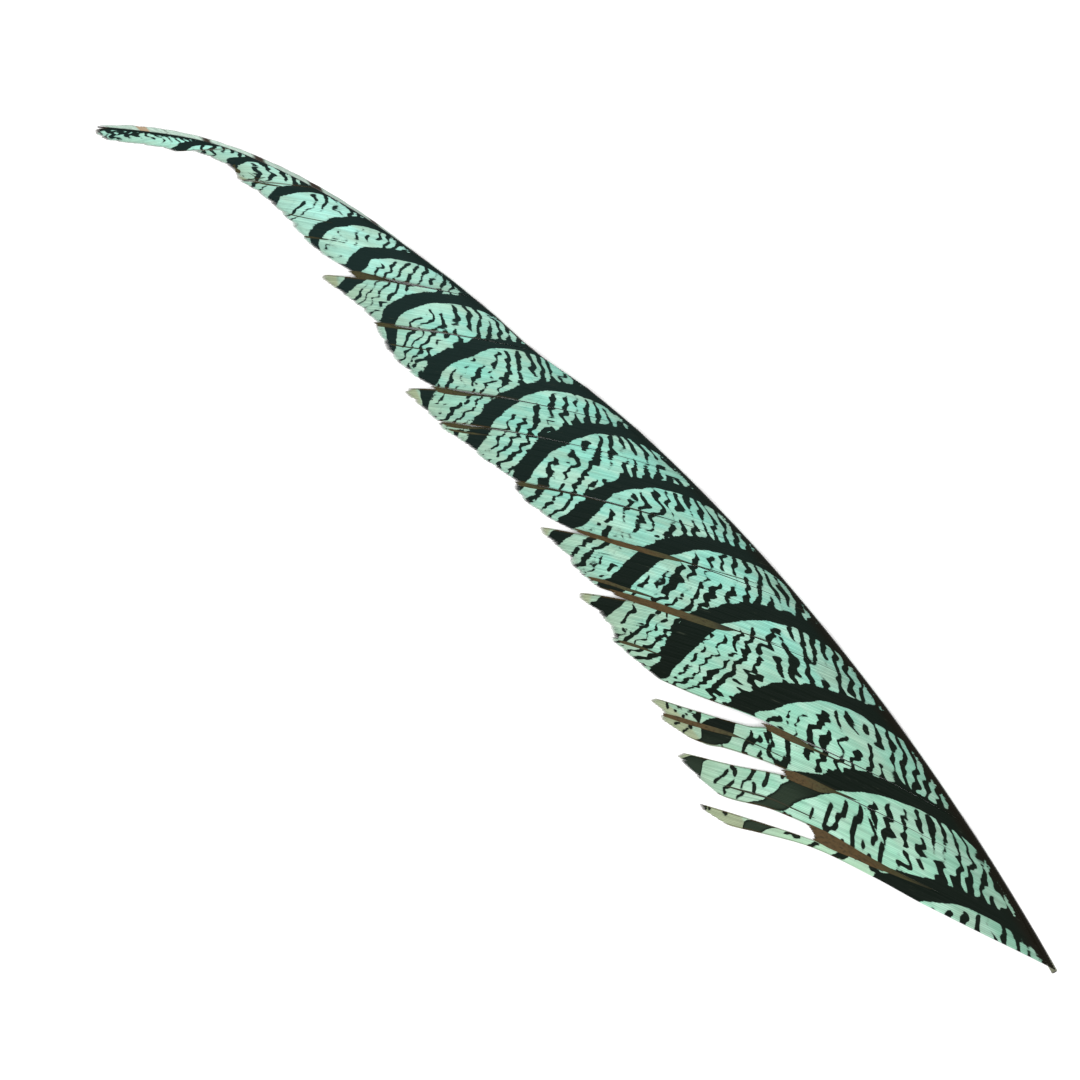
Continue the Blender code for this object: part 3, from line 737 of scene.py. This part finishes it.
bleached = noise(nodes, place_of(nodes, reach, root, 9.0), 0.09, 2.0)
mint = blended(nodes, between(nodes, bleached, 0.42, 0.68, 0.0, 0.6), mint, MINT_PALE)
dulled = maths(nodes, "MULTIPLY_ADD", streak, 0.5, slow)
mint = blended(nodes, between(nodes, dulled, 0.62, 0.98, 0.0, 0.65), mint, MINT_DULL)
from_end = maths(nodes, "MULTIPLY_ADD", slow, 14.0, kept_number(nodes, "to_end"))
mint = blended(nodes, between(nodes, from_end, 6.0, 24.0, 0.55, 0.0), mint, MINT_DULL)
mint = blended(nodes, kept_number(nodes, "cream"), mint, CREAM)
light = maths(nodes, "ADD", between(nodes, streak, 0.25, 0.75, 0.86, 1.12),
              maths(nodes, "MULTIPLY", chance, 0.12))
by_shaft = between(nodes, maths(nodes, "MULTIPLY_ADD", root, 0.1, reach), 5.0, 50.0, 0.68, 1.0)
light = maths(nodes, "MULTIPLY", light, by_shaft)
mint = blended(nodes, 1.0, mint, place_of(nodes, light, light, light), "MULTIPLY")
black = blended(nodes, between(nodes, root, 60.0, 300.0), BLACK_LOW, BLACK_TIP)
black = blended(nodes, between(nodes, streak, 0.55, 0.8, 0.0, 0.35), black, BLACK_WORN)
beside_shaft = maths(nodes, "MULTIPLY", between(nodes, reach, 1.0, 9.0, 0.9, 0.0),
                     between(nodes, root, 100.0, 230.0, 1.0, 0.2))
black = blended(nodes, beside_shaft, black, BLACK_SHAFT)
thin_dye = maths(nodes, "MULTIPLY", between(nodes, root, 22.0, 48.0, 1.0, 0.0),
                 between(nodes, reach, 62.0, 82.0, 0.0, 0.8))
thin_dye = maths(nodes, "MULTIPLY", thin_dye, between(nodes, marking, 0.0, 2.0))
black = blended(nodes, thin_dye, black, BLACK_THIN)
black = blended(nodes, between(nodes, streak, 0.64, 0.76, 0.0, 0.55), black, BLACK_FRAYED)
edge = maths(nodes, "MULTIPLY_ADD", frayed_edge, 0.24, marking)
dark = between(nodes, edge, 0.02, 0.22)
near_mark = maths(nodes, "MULTIPLY_ADD", frayed_edge, 2.2, maths(nodes, "MAXIMUM", marking, -0.6))
speck = between(nodes, near_mark, 0.95, 1.1, 0.0, 0.3)
colour = blended(nodes, maths(nodes, "MAXIMUM", dark, speck), mint, black)
colour = blended(nodes, kept_number(nodes, "brown"), colour, SPLIT_BROWN)
# Painted shade darkens each barb towards its wing edges, in the grooves between barbs, and a faint painted
# highlight lightens the middle of each barb.
painted_groove_shade = between(nodes, maths(nodes, "ABSOLUTE", across), 0.5, 1.0, 1.04, 0.5)
colour = blended(nodes, 1.0, colour, place_of(nodes, painted_groove_shade, painted_groove_shade, painted_groove_shade), "MULTIPLY")
underside = kept_number(nodes, "under")
colour = blended(nodes, maths(nodes, "MULTIPLY", underside, 0.35), colour, PALE_BELOW)
feed(shader.inputs["Base Color"], colour)
feed(shader.inputs["Roughness"], between(nodes, streak, 0.3, 0.8, 0.5, 0.68))
feed(shader.inputs["Specular IOR Level"], 0.05)
barbules = nodes.new("ShaderNodeTexWave")
from_rib = maths(nodes, "MULTIPLY", maths(nodes, "ABSOLUTE", across), 0.22)
feed(barbules.inputs["Vector"], place_of(nodes, reach, from_rib))
feed(barbules.inputs["Scale"], 1.6)
feed(barbules.inputs["Distortion"], 0.6)
relief(nodes, shader, barbules.outputs["Fac"], 0.25, 0.00004)

chances = np.random.default_rng(21)
for number, lock in enumerate(LOCKS, start=1):
    first_root, last_root = lock["lower"][0][1], lock["upper"][0][1]
    middle_root = (first_root + last_root) / 2
    count = round((last_root - first_root) / value_at(BARB_SPACING, middle_root))
    small_locks = max(1, round((last_root - first_root) / SMALL_LOCK_WIDTH))
    gaps = np.concatenate(([0.0], chances.uniform(0.1, 1.0, small_locks - 1) * SMALL_LOCK_GAP * 2, [0.0]))
    share = ((np.arange(count) + 0.5) / count)[:, None]
    root = first_root * (1 - share) + last_root * share
    angle = np.radians(value_at(BARB_ANGLE, root))
    first = (value_at(SHAFT_STRAY, root) - SHAFT_COVER * value_at(SHAFT_HALF_WIDTH, root)) / np.sin(angle)
    to_gap = np.abs(share * small_locks - np.round(share * small_locks))
    at_lock_edge = np.minimum(share, 1 - share) * small_locks < 0.5
    point = np.where(at_lock_edge, 0.0, SMALL_LOCK_POINT * np.exp(-(to_gap / 0.13) ** 2))
    end = smooth_at(lock["ends"], share) - 0.1 - point - np.abs(chances.normal(0, 0.2, share.shape))
    rows = int((end.max() - first.min()) / value_at(ROW_LENGTH, middle_root)) + 2
    reach = first + (end - first) * np.linspace(0, 1, rows)[None, :]
    share = np.broadcast_to(share, reach.shape)
    half_share = BARB_HALF_WIDTH / count
    centre = in_lock(lock, share, reach, gaps)
    lower_side = in_lock(lock, np.maximum(share - half_share, 0), reach, gaps)
    upper_side = in_lock(lock, np.minimum(share + half_share, 1), reach, gaps)
    taper = 0.15 + 0.85 * np.clip((end - reach) / TIP_TAPER, 0, 1) ** 0.7
    (left, right), covers = spread_wings(centre, lower_side, upper_side, WING_SPREAD, taper)
    (left_share, left_along), (right_share, right_along) = covers
    rib, keel = lifted(centre, RIB_HEIGHT * taper), lifted(centre, -KEEL_DROP * taper)
    root = np.broadcast_to(root, reach.shape)
    half_root = half_share * (last_root - first_root)
    past_cream = reach - smooth_at(lock["cream"], share)
    cream = 0.3 * eased(past_cream, -34, -3) + 0.7 * eased(past_cream, -0.8, 0.8)
    to_left, to_right = half_root * left_share, half_root * right_share
    across_root = np.stack([root - to_left, root, root + to_right, root], axis=-1)
    to_left, to_right = left_along * left_share, right_along * right_share
    across_reach = np.stack([reach - to_left, reach, reach - to_right, reach], axis=-1)
    step = np.repeat(chances.normal(0, MARK_STEP, (count, 1)), rows, axis=1)
    whitened = 3 * eased(past_cream, -1, 1.5) * (root > SINGLE_BELOW[-1])
    marking = np.clip(markings(across_reach, across_root) + (step - whitened)[..., None], -2, 2)
    edge_distance = np.minimum(root - first_root, last_root - root)
    brown = 0.8 * np.exp(-(edge_distance / 0.7) ** 2) * eased(reach, lock["split"] - 22, lock["split"] + 4)
    brown = np.maximum(brown, value_at(TIP_EDGE_DARK, root) * (1 - eased(end - reach, 0.2, 1.3)))
    brown = np.maximum(brown, 0.7 * eased(past_cream, 0, 3) * (1 - eased(end - reach, 0.2, 1.8)))
    piece = barb_object(f"vane_lock_{number:02d}", left, rib, right, keel, {
        "root": across_root, "reach": across_reach, "marking": marking, "cream": cream[..., None],
        "to_end": (end - reach)[..., None], "brown": brown[..., None],
        "chance": np.broadcast_to(chances.uniform(-1, 1, (count, 1, 1)), (count, rows, 1)),
        "across": np.array([-1.0, 0.0, 1.0, 0.0]), "under": np.array([0.0, 0.0, 0.0, 1.0])})
    piece.data.materials.append(dyed_barb)
    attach(piece, "root")
    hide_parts("feather")

# ---------------------------------------------------------------------------------------------------------
# The turned barbs. On the margins of a split some barbs have turned on edge and show their brown sides. They
# fill the split, stray a little at its mouth, and close to a dark line further in.
# Each tuft is the reach where its brown begins, then (reach, station, width along the shaft) from inside out.
TUFTS = (
    (44, (36, 10, 0.4), (50, 9.4, 1.8), (57, 9.5, 3), (60, 9.6, 3.6), (65.3, 10.2, 4.4), (70, 10.6, 5.4),
     (73.2, 10.8, 5.8), (80.4, 11.3, 5)),
    (56, (50, 34.8, 0.4), (60, 33.4, 1.6), (67.5, 32.2, 4.8), (72, 31.9, 4.8), (79, 30.8, 2.8)),
    (52, (40, 52.8, 0.4), (54, 52.5, 1.6), (59, 53.4, 4.4), (64.5, 53.6, 5.4), (72, 53.4, 3.0)),
    (90, (72, 38.8, 0.4), (87.5, 39.5, 0.4), (91.5, 39.2, 1.4), (99.5, 38, 2.0), (109.8, 36.8, 2.0),
     (116.5, 36.2, 1.4)),
    (110, (74, 17, 0.4), (81.5, 17.2, 0.4), (88.2, 17.5, 0.5), (98.8, 16.5, 0.5), (106, 15.8, 0.4)),
    (54, (30, 107.5, 0.4), (46.8, 106, 0.6), (51, 105.3, 2.6), (57, 104.7, 4.0), (64, 104.8, 4.2),
     (73, 105.3, 4.2), (80, 105.8, 3.8), (87.5, 106.8, 2.4)),
    (74, (70, 109.8, 0.6), (79.5, 110.3, 1.8), (85, 111.2, 2.0), (91.5, 111.4, 1.4)),
    (44, (14, 140.6, 0.4), (35, 137.6, 0.4), (42, 137.2, 0.9), (47, 136.8, 2.4), (55, 136.2, 3.2),
     (64, 136.2, 3.2), (72, 137, 2.8), (78, 138, 1.8)),
    (93, (90, 76.6, 0.5), (98.8, 78, 2.2), (103.5, 77.8, 1.4)),
    (71, (30, 161.6, 0.4), (51, 161.1, 0.5), (63.5, 161.3, 0.8), (70.5, 161.1, 1.4), (76, 160.8, 2.8),
     (80.5, 160.8, 2.2)),
    (67, (55, 196, 0.4), (64, 194.8, 0.5), (69, 193.6, 1.4), (75, 193.4, 2.8), (79.5, 193.6, 2.0)),
    (71, (66, 190, 0.4), (75, 189.6, 1.2), (80, 190.2, 1.2)),
    (54, (42, 216.4, 0.4), (52.2, 215.4, 1.0), (57.2, 215.0, 2.6), (61, 215.2, 3.4), (65.5, 216, 3.4)),
    (46, (40, 252.6, 0.4), (47.2, 253, 1.8), (50, 253.8, 2.6), (54, 253.8, 1.8)),
    (29, (18, 281.2, 0.4), (24, 282, 0.7), (29.5, 283.2, 2.8), (33, 283.2, 4.2), (38, 282.8, 2.8)),
    (10, (12.5, 356, 0.4), (14.8, 354, 1.0), (16.2, 351.2, 1.8), (19.6, 347.6, 1.4)),
    (16, (12, 339, 0.4), (17.2, 339.6, 1.4), (21, 341.2, 1.0)),
    (99, (14.5, 349.5, 0.8), (16, 344.3, 1.0), (17.5, 339, 0.8)),
    (99, (12, 345.8, 0.3), (17.4, 343.7, 0.5), (22.8, 341.5, 0.4)),
    (27, (18, 314, 0.4), (25.8, 314.2, 0.6), (32, 315.2, 1.0)),
    (35, (29, 302, 0.4), (34.8, 301.8, 0.8), (38, 301.5, 0.7)),
    (54, (46, 240.5, 0.4), (55, 240.8, 0.7), (59, 241.5, 0.8)),
)
TUFT_SPACING = 0.62
TUFT_ROWS = 70
TUFT_LIFT = 0.21
TUFT_STRAY = 0.12
TUFT_HALF_WIDTH = 0.62
TUFT_RIB = 1.3
TUFT_FADE = 24
TUFT_GRAIN = 60

SPLIT_DARK = (0.012, 0.014, 0.009)
SPLIT_OLIVE = (0.046, 0.043, 0.016)
SPLIT_STREAK = (0.018, 0.016, 0.009)
turned_barb, nodes, shader = new_material("turned_barb")
reach = kept_number(nodes, "reach")
place = place_of(nodes, maths(nodes, "MULTIPLY", reach, 0.14), kept_number(nodes, "strand"))
streak = noise(nodes, place, 3.0, 4.0, 0.6)
outward = maths(nodes, "MULTIPLY_ADD", streak, 0.5, kept_number(nodes, "outward"))
colour = blended(nodes, between(nodes, outward, 0.1, 0.5), SPLIT_DARK, SPLIT_OLIVE)
colour = blended(nodes, between(nodes, outward, 0.55, 1.05), colour, SPLIT_BROWN)
colour = blended(nodes, between(nodes, streak, 0.44, 0.7, 0.0, 0.65), colour, SPLIT_STREAK)
feed(shader.inputs["Base Color"], colour)
feed(shader.inputs["Roughness"], between(nodes, streak, 0.3, 0.8, 0.45, 0.65))
feed(shader.inputs["Specular IOR Level"], 0.1)
relief(nodes, shader, streak, 0.3, 0.00005)

chances = np.random.default_rng(8)
tuft_lines, outward, strand = [], [], []
for brown_from, *path in TUFTS:
    reaches, stations, widths = np.array(path, float).T
    count = max(1, round(widths.max() / TUFT_SPACING))
    share = ((np.arange(count) + 0.5) / count)[:, None]
    notch = np.sqrt(np.maximum(1 - (2 * share - 1) ** 2, 0)) * 0.35 * widths[-1]
    end = reaches[-1] - notch - chances.uniform(0, 0.015, share.shape) * (reaches[-1] - brown_from)
    reach = reaches[0] + (end - reaches[0]) * np.linspace(0, 1, TUFT_ROWS)[None, :]
    progress = (reach - reaches[0]) / (reaches[-1] - reaches[0])
    stray = chances.normal(0, 1, share.shape) * TUFT_STRAY * eased(reach, reaches[-1] - 9, reaches[-1] + 5)
    middle = smooth_at(list(zip(reaches, stations)), reach)
    width = smooth_at(list(zip(reaches, widths)), reach)
    sides = []
    for offset in (0.0, -TUFT_HALF_WIDTH / count, TUFT_HALF_WIDTH / count):
        station = middle + (share + offset - 0.5) * width + stray
        lift = TUFT_LIFT + 0.1 * np.sin(math.pi * share) * np.clip(width / 3, 0, 1)
        lift = lift + 0.03 * np.sin(reach * 0.7 + 9 * share)
        height = vane_height(station, reach) + lift * eased(progress, 0, 0.1)
        sides.append(np.stack([*on_barb(station, reach), height], axis=-1))
    taper = 0.2 + 0.8 * np.clip((end - reach) / 0.7, 0, 1) * np.clip(progress * 12, 0, 1)
    (left, right), _ = spread_wings(*sides, WING_SPREAD, taper)
    rib, keel = lifted(sides[0], TUFT_RIB * RIB_HEIGHT * taper), lifted(sides[0], -KEEL_DROP * taper)
    tuft_lines.append((left, rib, right, keel))
    outward.append((reach - brown_from) / TUFT_FADE + 0.1)
    strand.append(np.broadcast_to(chances.uniform(0, 50, share.shape), reach.shape))
    outward[-1] = outward[-1] + (reach > brown_from) * chances.uniform(-0.15, 0.15, share.shape)
left, rib, right, keel = (np.concatenate(lines) for lines in zip(*tuft_lines))
outward, strand = np.concatenate(outward)[..., None], np.concatenate(strand)[..., None]
tufts = barb_object("turned_barbs", left, rib, right, keel, {
    "outward": np.clip(outward, 0, 1), "strand": strand,
    "reach": np.linspace(0, TUFT_GRAIN, TUFT_ROWS)[None, :, None]})
tufts.data.materials.append(turned_barb)
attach(tufts, "root")
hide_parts("feather")

# ---------------------------------------------------------------------------------------------------------
# The narrow vane. It grows on the shaft's other side and hangs down from it, so from above only its last
# quarter shows, as a pale strip with a dark patch wherever a bar meets the shaft.
NARROW_START = 30.0
NARROW_WIDTH = ((30, 0.8), (60, 3.4), (100, 5.0), (200, 5.5), (300, 4.5), (345, 2.3), (360, 1.5), (372, 1.1),
                (384, 1.3), (395, 1.6), (404, 1.4), (411.5, 0.5))
NARROW_FOLD = ((30, 90), (310, 86), (330, 72), (345, 58), (365, 30), (385, 10), (413.5, 4))
NARROW_ANGLE = ((30, 22), (300, 20), (360, 12), (413.5, 9))
NARROW_SPACING = 0.72
NARROW_ROWS = 14
NARROW_GRAIN = 14
NARROW_LOWEST = 0.14
NARROW_PATCHES = ((298, 304), (317, 322), (338, 344), (358.5, 363.5), (376.5, 380.5), (390.8, 392))
NARROW_RUSTY = ((396.5, 400.5),)

NARROW_PALE = (0.47, 0.60, 0.52)
NARROW_GREY = (0.25, 0.34, 0.29)
NARROW_RUST = (0.36, 0.21, 0.11)
NARROW_PATCH = (0.030, 0.019, 0.011)
NARROW_EDGE = (0.045, 0.050, 0.038)
pale_barb, nodes, shader = new_material("pale_barb")
reach = kept_number(nodes, "reach")
place = place_of(nodes, maths(nodes, "MULTIPLY", reach, 0.2), kept_number(nodes, "root"))
streak = noise(nodes, place, 1.1, 4.0, 0.6)
colour = blended(nodes, between(nodes, streak, 0.35, 0.7), NARROW_PALE, NARROW_GREY)
patch = between(nodes, maths(nodes, "MULTIPLY_ADD", streak, 3.0, kept_number(nodes, "marking")), 1.2, 3.0)
colour = blended(nodes, patch, colour, NARROW_PATCH)
colour = blended(nodes, between(nodes, kept_number(nodes, "rust"), 0.0, 0.8, 0.0, 0.8), colour, NARROW_RUST)
colour = blended(nodes, between(nodes, reach, 11.5, 13.8, 0.0, 0.55), colour, NARROW_EDGE)
feed(shader.inputs["Base Color"], colour)
feed(shader.inputs["Roughness"], 0.6)
feed(shader.inputs["Specular IOR Level"], 0.25)

chances = np.random.default_rng(5)
count = int((SHAFT_LENGTH - 4 - NARROW_START) / NARROW_SPACING)
root = NARROW_START + (np.arange(count)[:, None] + 0.5) * NARROW_SPACING
out = np.linspace(0.0, 1.0, NARROW_ROWS)[None, :] * (1 - np.abs(chances.normal(0, 0.03, root.shape)))


def beside_narrow(root, out):
    """A point of the narrow vane. out runs from the shaft to the vane's edge."""
    run = value_at(NARROW_WIDTH, root) / np.tan(np.radians(value_at(NARROW_ANGLE, root)))
    station = np.minimum(root + run * out, SHAFT_LENGTH - 0.5)
    width, fold = value_at(NARROW_WIDTH, station) * out, np.radians(value_at(NARROW_FOLD, station))
    side = -0.7 * value_at(SHAFT_HALF_WIDTH, station) - width * np.cos(fold)
    ripple = 0.05 * np.sin(station * 0.9 + 3 * out) * out
    height = value_at(SHAFT_HEIGHT, station) - width * np.sin(fold)
    height = np.maximum(height, NARROW_LOWEST) + ripple * np.cos(fold)
    return np.stack([*on_shaft(station, side - ripple), height], axis=-1)


centre = beside_narrow(root, out)
taper = 0.2 + 0.8 * np.clip((1 - out) * 6, 0, 1)
half_root = BARB_HALF_WIDTH * NARROW_SPACING
(left, right), _ = spread_wings(centre, beside_narrow(root - half_root, out),
                                beside_narrow(root + half_root, out), WING_SPREAD, taper)
folded = np.radians(value_at(NARROW_FOLD, root + 3 * out))
heading = np.radians(value_at(COURSE_HEADING, root))
outward = np.stack([np.sin(folded) * np.sin(heading), -np.sin(folded) * np.cos(heading), np.cos(folded)],
                   axis=-1)
rib = centre + outward * RIB_HEIGHT * taper[..., None]
keel = centre - outward * 0.7 * KEEL_DROP * taper[..., None]
station = root + 0.8 * out * value_at(NARROW_WIDTH, root) / np.tan(np.radians(value_at(NARROW_ANGLE, root)))
bar_marks = [(bar[0][1], bar[0][2]) for bar in BARS[1:12]] + list(NARROW_PATCHES)
marking = np.max([np.minimum(station - low, high - station) for low, high in bar_marks], axis=0)
rust = np.max([np.minimum(station - low, high - station) for low, high in NARROW_RUSTY], axis=0)
narrow = barb_object("narrow_vane", left, rib, right, keel, {
    "root": root[..., None], "reach": (out * NARROW_GRAIN)[..., None],
    "marking": np.clip(marking, -2, 2)[..., None], "rust": np.clip(rust, -2, 2)[..., None]})
narrow.data.materials.append(pale_barb)
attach(narrow, "root")
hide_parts("feather")

# ---------------------------------------------------------------------------------------------------------
# The table, the light and the camera. The camera looks straight down, turned as in the photograph.
PICTURE_WIDTH = 0.3386
PICTURE_CENTRE = (0.01035, 0.0086)
PICTURE_TURN = math.radians(221.39)
CAMERA_HEIGHT = 1.5
FLOOR_SIZE = 6.0
PAPER_LOW = (0.93, 0.93, 0.93)
PAPER_HIGH = (0.96, 0.96, 0.96)
SKY_STRENGTH = 0.55
SENSOR_WIDTH = 36.0
bpy.ops.mesh.primitive_plane_add(size=FLOOR_SIZE, location=(0, 0, 0))
floor = bpy.context.active_object
floor.name = "floor"
white_paper, nodes, shader = new_material("white_paper")
place = nodes.new("ShaderNodeTexCoord").outputs["Object"]
feed(shader.inputs["Base Color"], blended(nodes, noise(nodes, place, 30.0, 3.0), PAPER_LOW, PAPER_HIGH))
feed(shader.inputs["Roughness"], 0.9)
floor.data.materials.append(white_paper)

scene = bpy.context.scene
world = bpy.data.worlds.new("studio")
world.use_nodes = True
world.node_tree.nodes["Background"].inputs["Color"].default_value = (1.0, 1.0, 1.0, 1.0)
world.node_tree.nodes["Background"].inputs["Strength"].default_value = SKY_STRENGTH
scene.world = world
LAMPS = (("key", (-0.18, 0.25, 1.6), 0.6, 16.0), ("fill", (0.3, -0.2, 1.5), 0.8, 11.0))
for name, spot, size, power in LAMPS:
    lamp = bpy.data.lights.new(name, "AREA")
    lamp.size = size
    lamp.energy = power
    holder = bpy.data.objects.new(name, lamp)
    scene.collection.objects.link(holder)
    away = math.hypot(spot[0], spot[1])
    holder.location = spot
    holder.rotation_euler = (math.atan2(away, spot[2]), 0, math.atan2(spot[1], spot[0]) + math.pi / 2)

lens = bpy.data.cameras.new("camera")
camera = bpy.data.objects.new("camera", lens)
scene.collection.objects.link(camera)
camera.location = (PICTURE_CENTRE[0], PICTURE_CENTRE[1], CAMERA_HEIGHT)
camera.rotation_euler = (0, 0, PICTURE_TURN)
lens.sensor_width = SENSOR_WIDTH
lens.lens = SENSOR_WIDTH * CAMERA_HEIGHT / PICTURE_WIDTH
lens.clip_end = 20.0
scene.camera = camera
scene.view_settings.view_transform = "Standard"
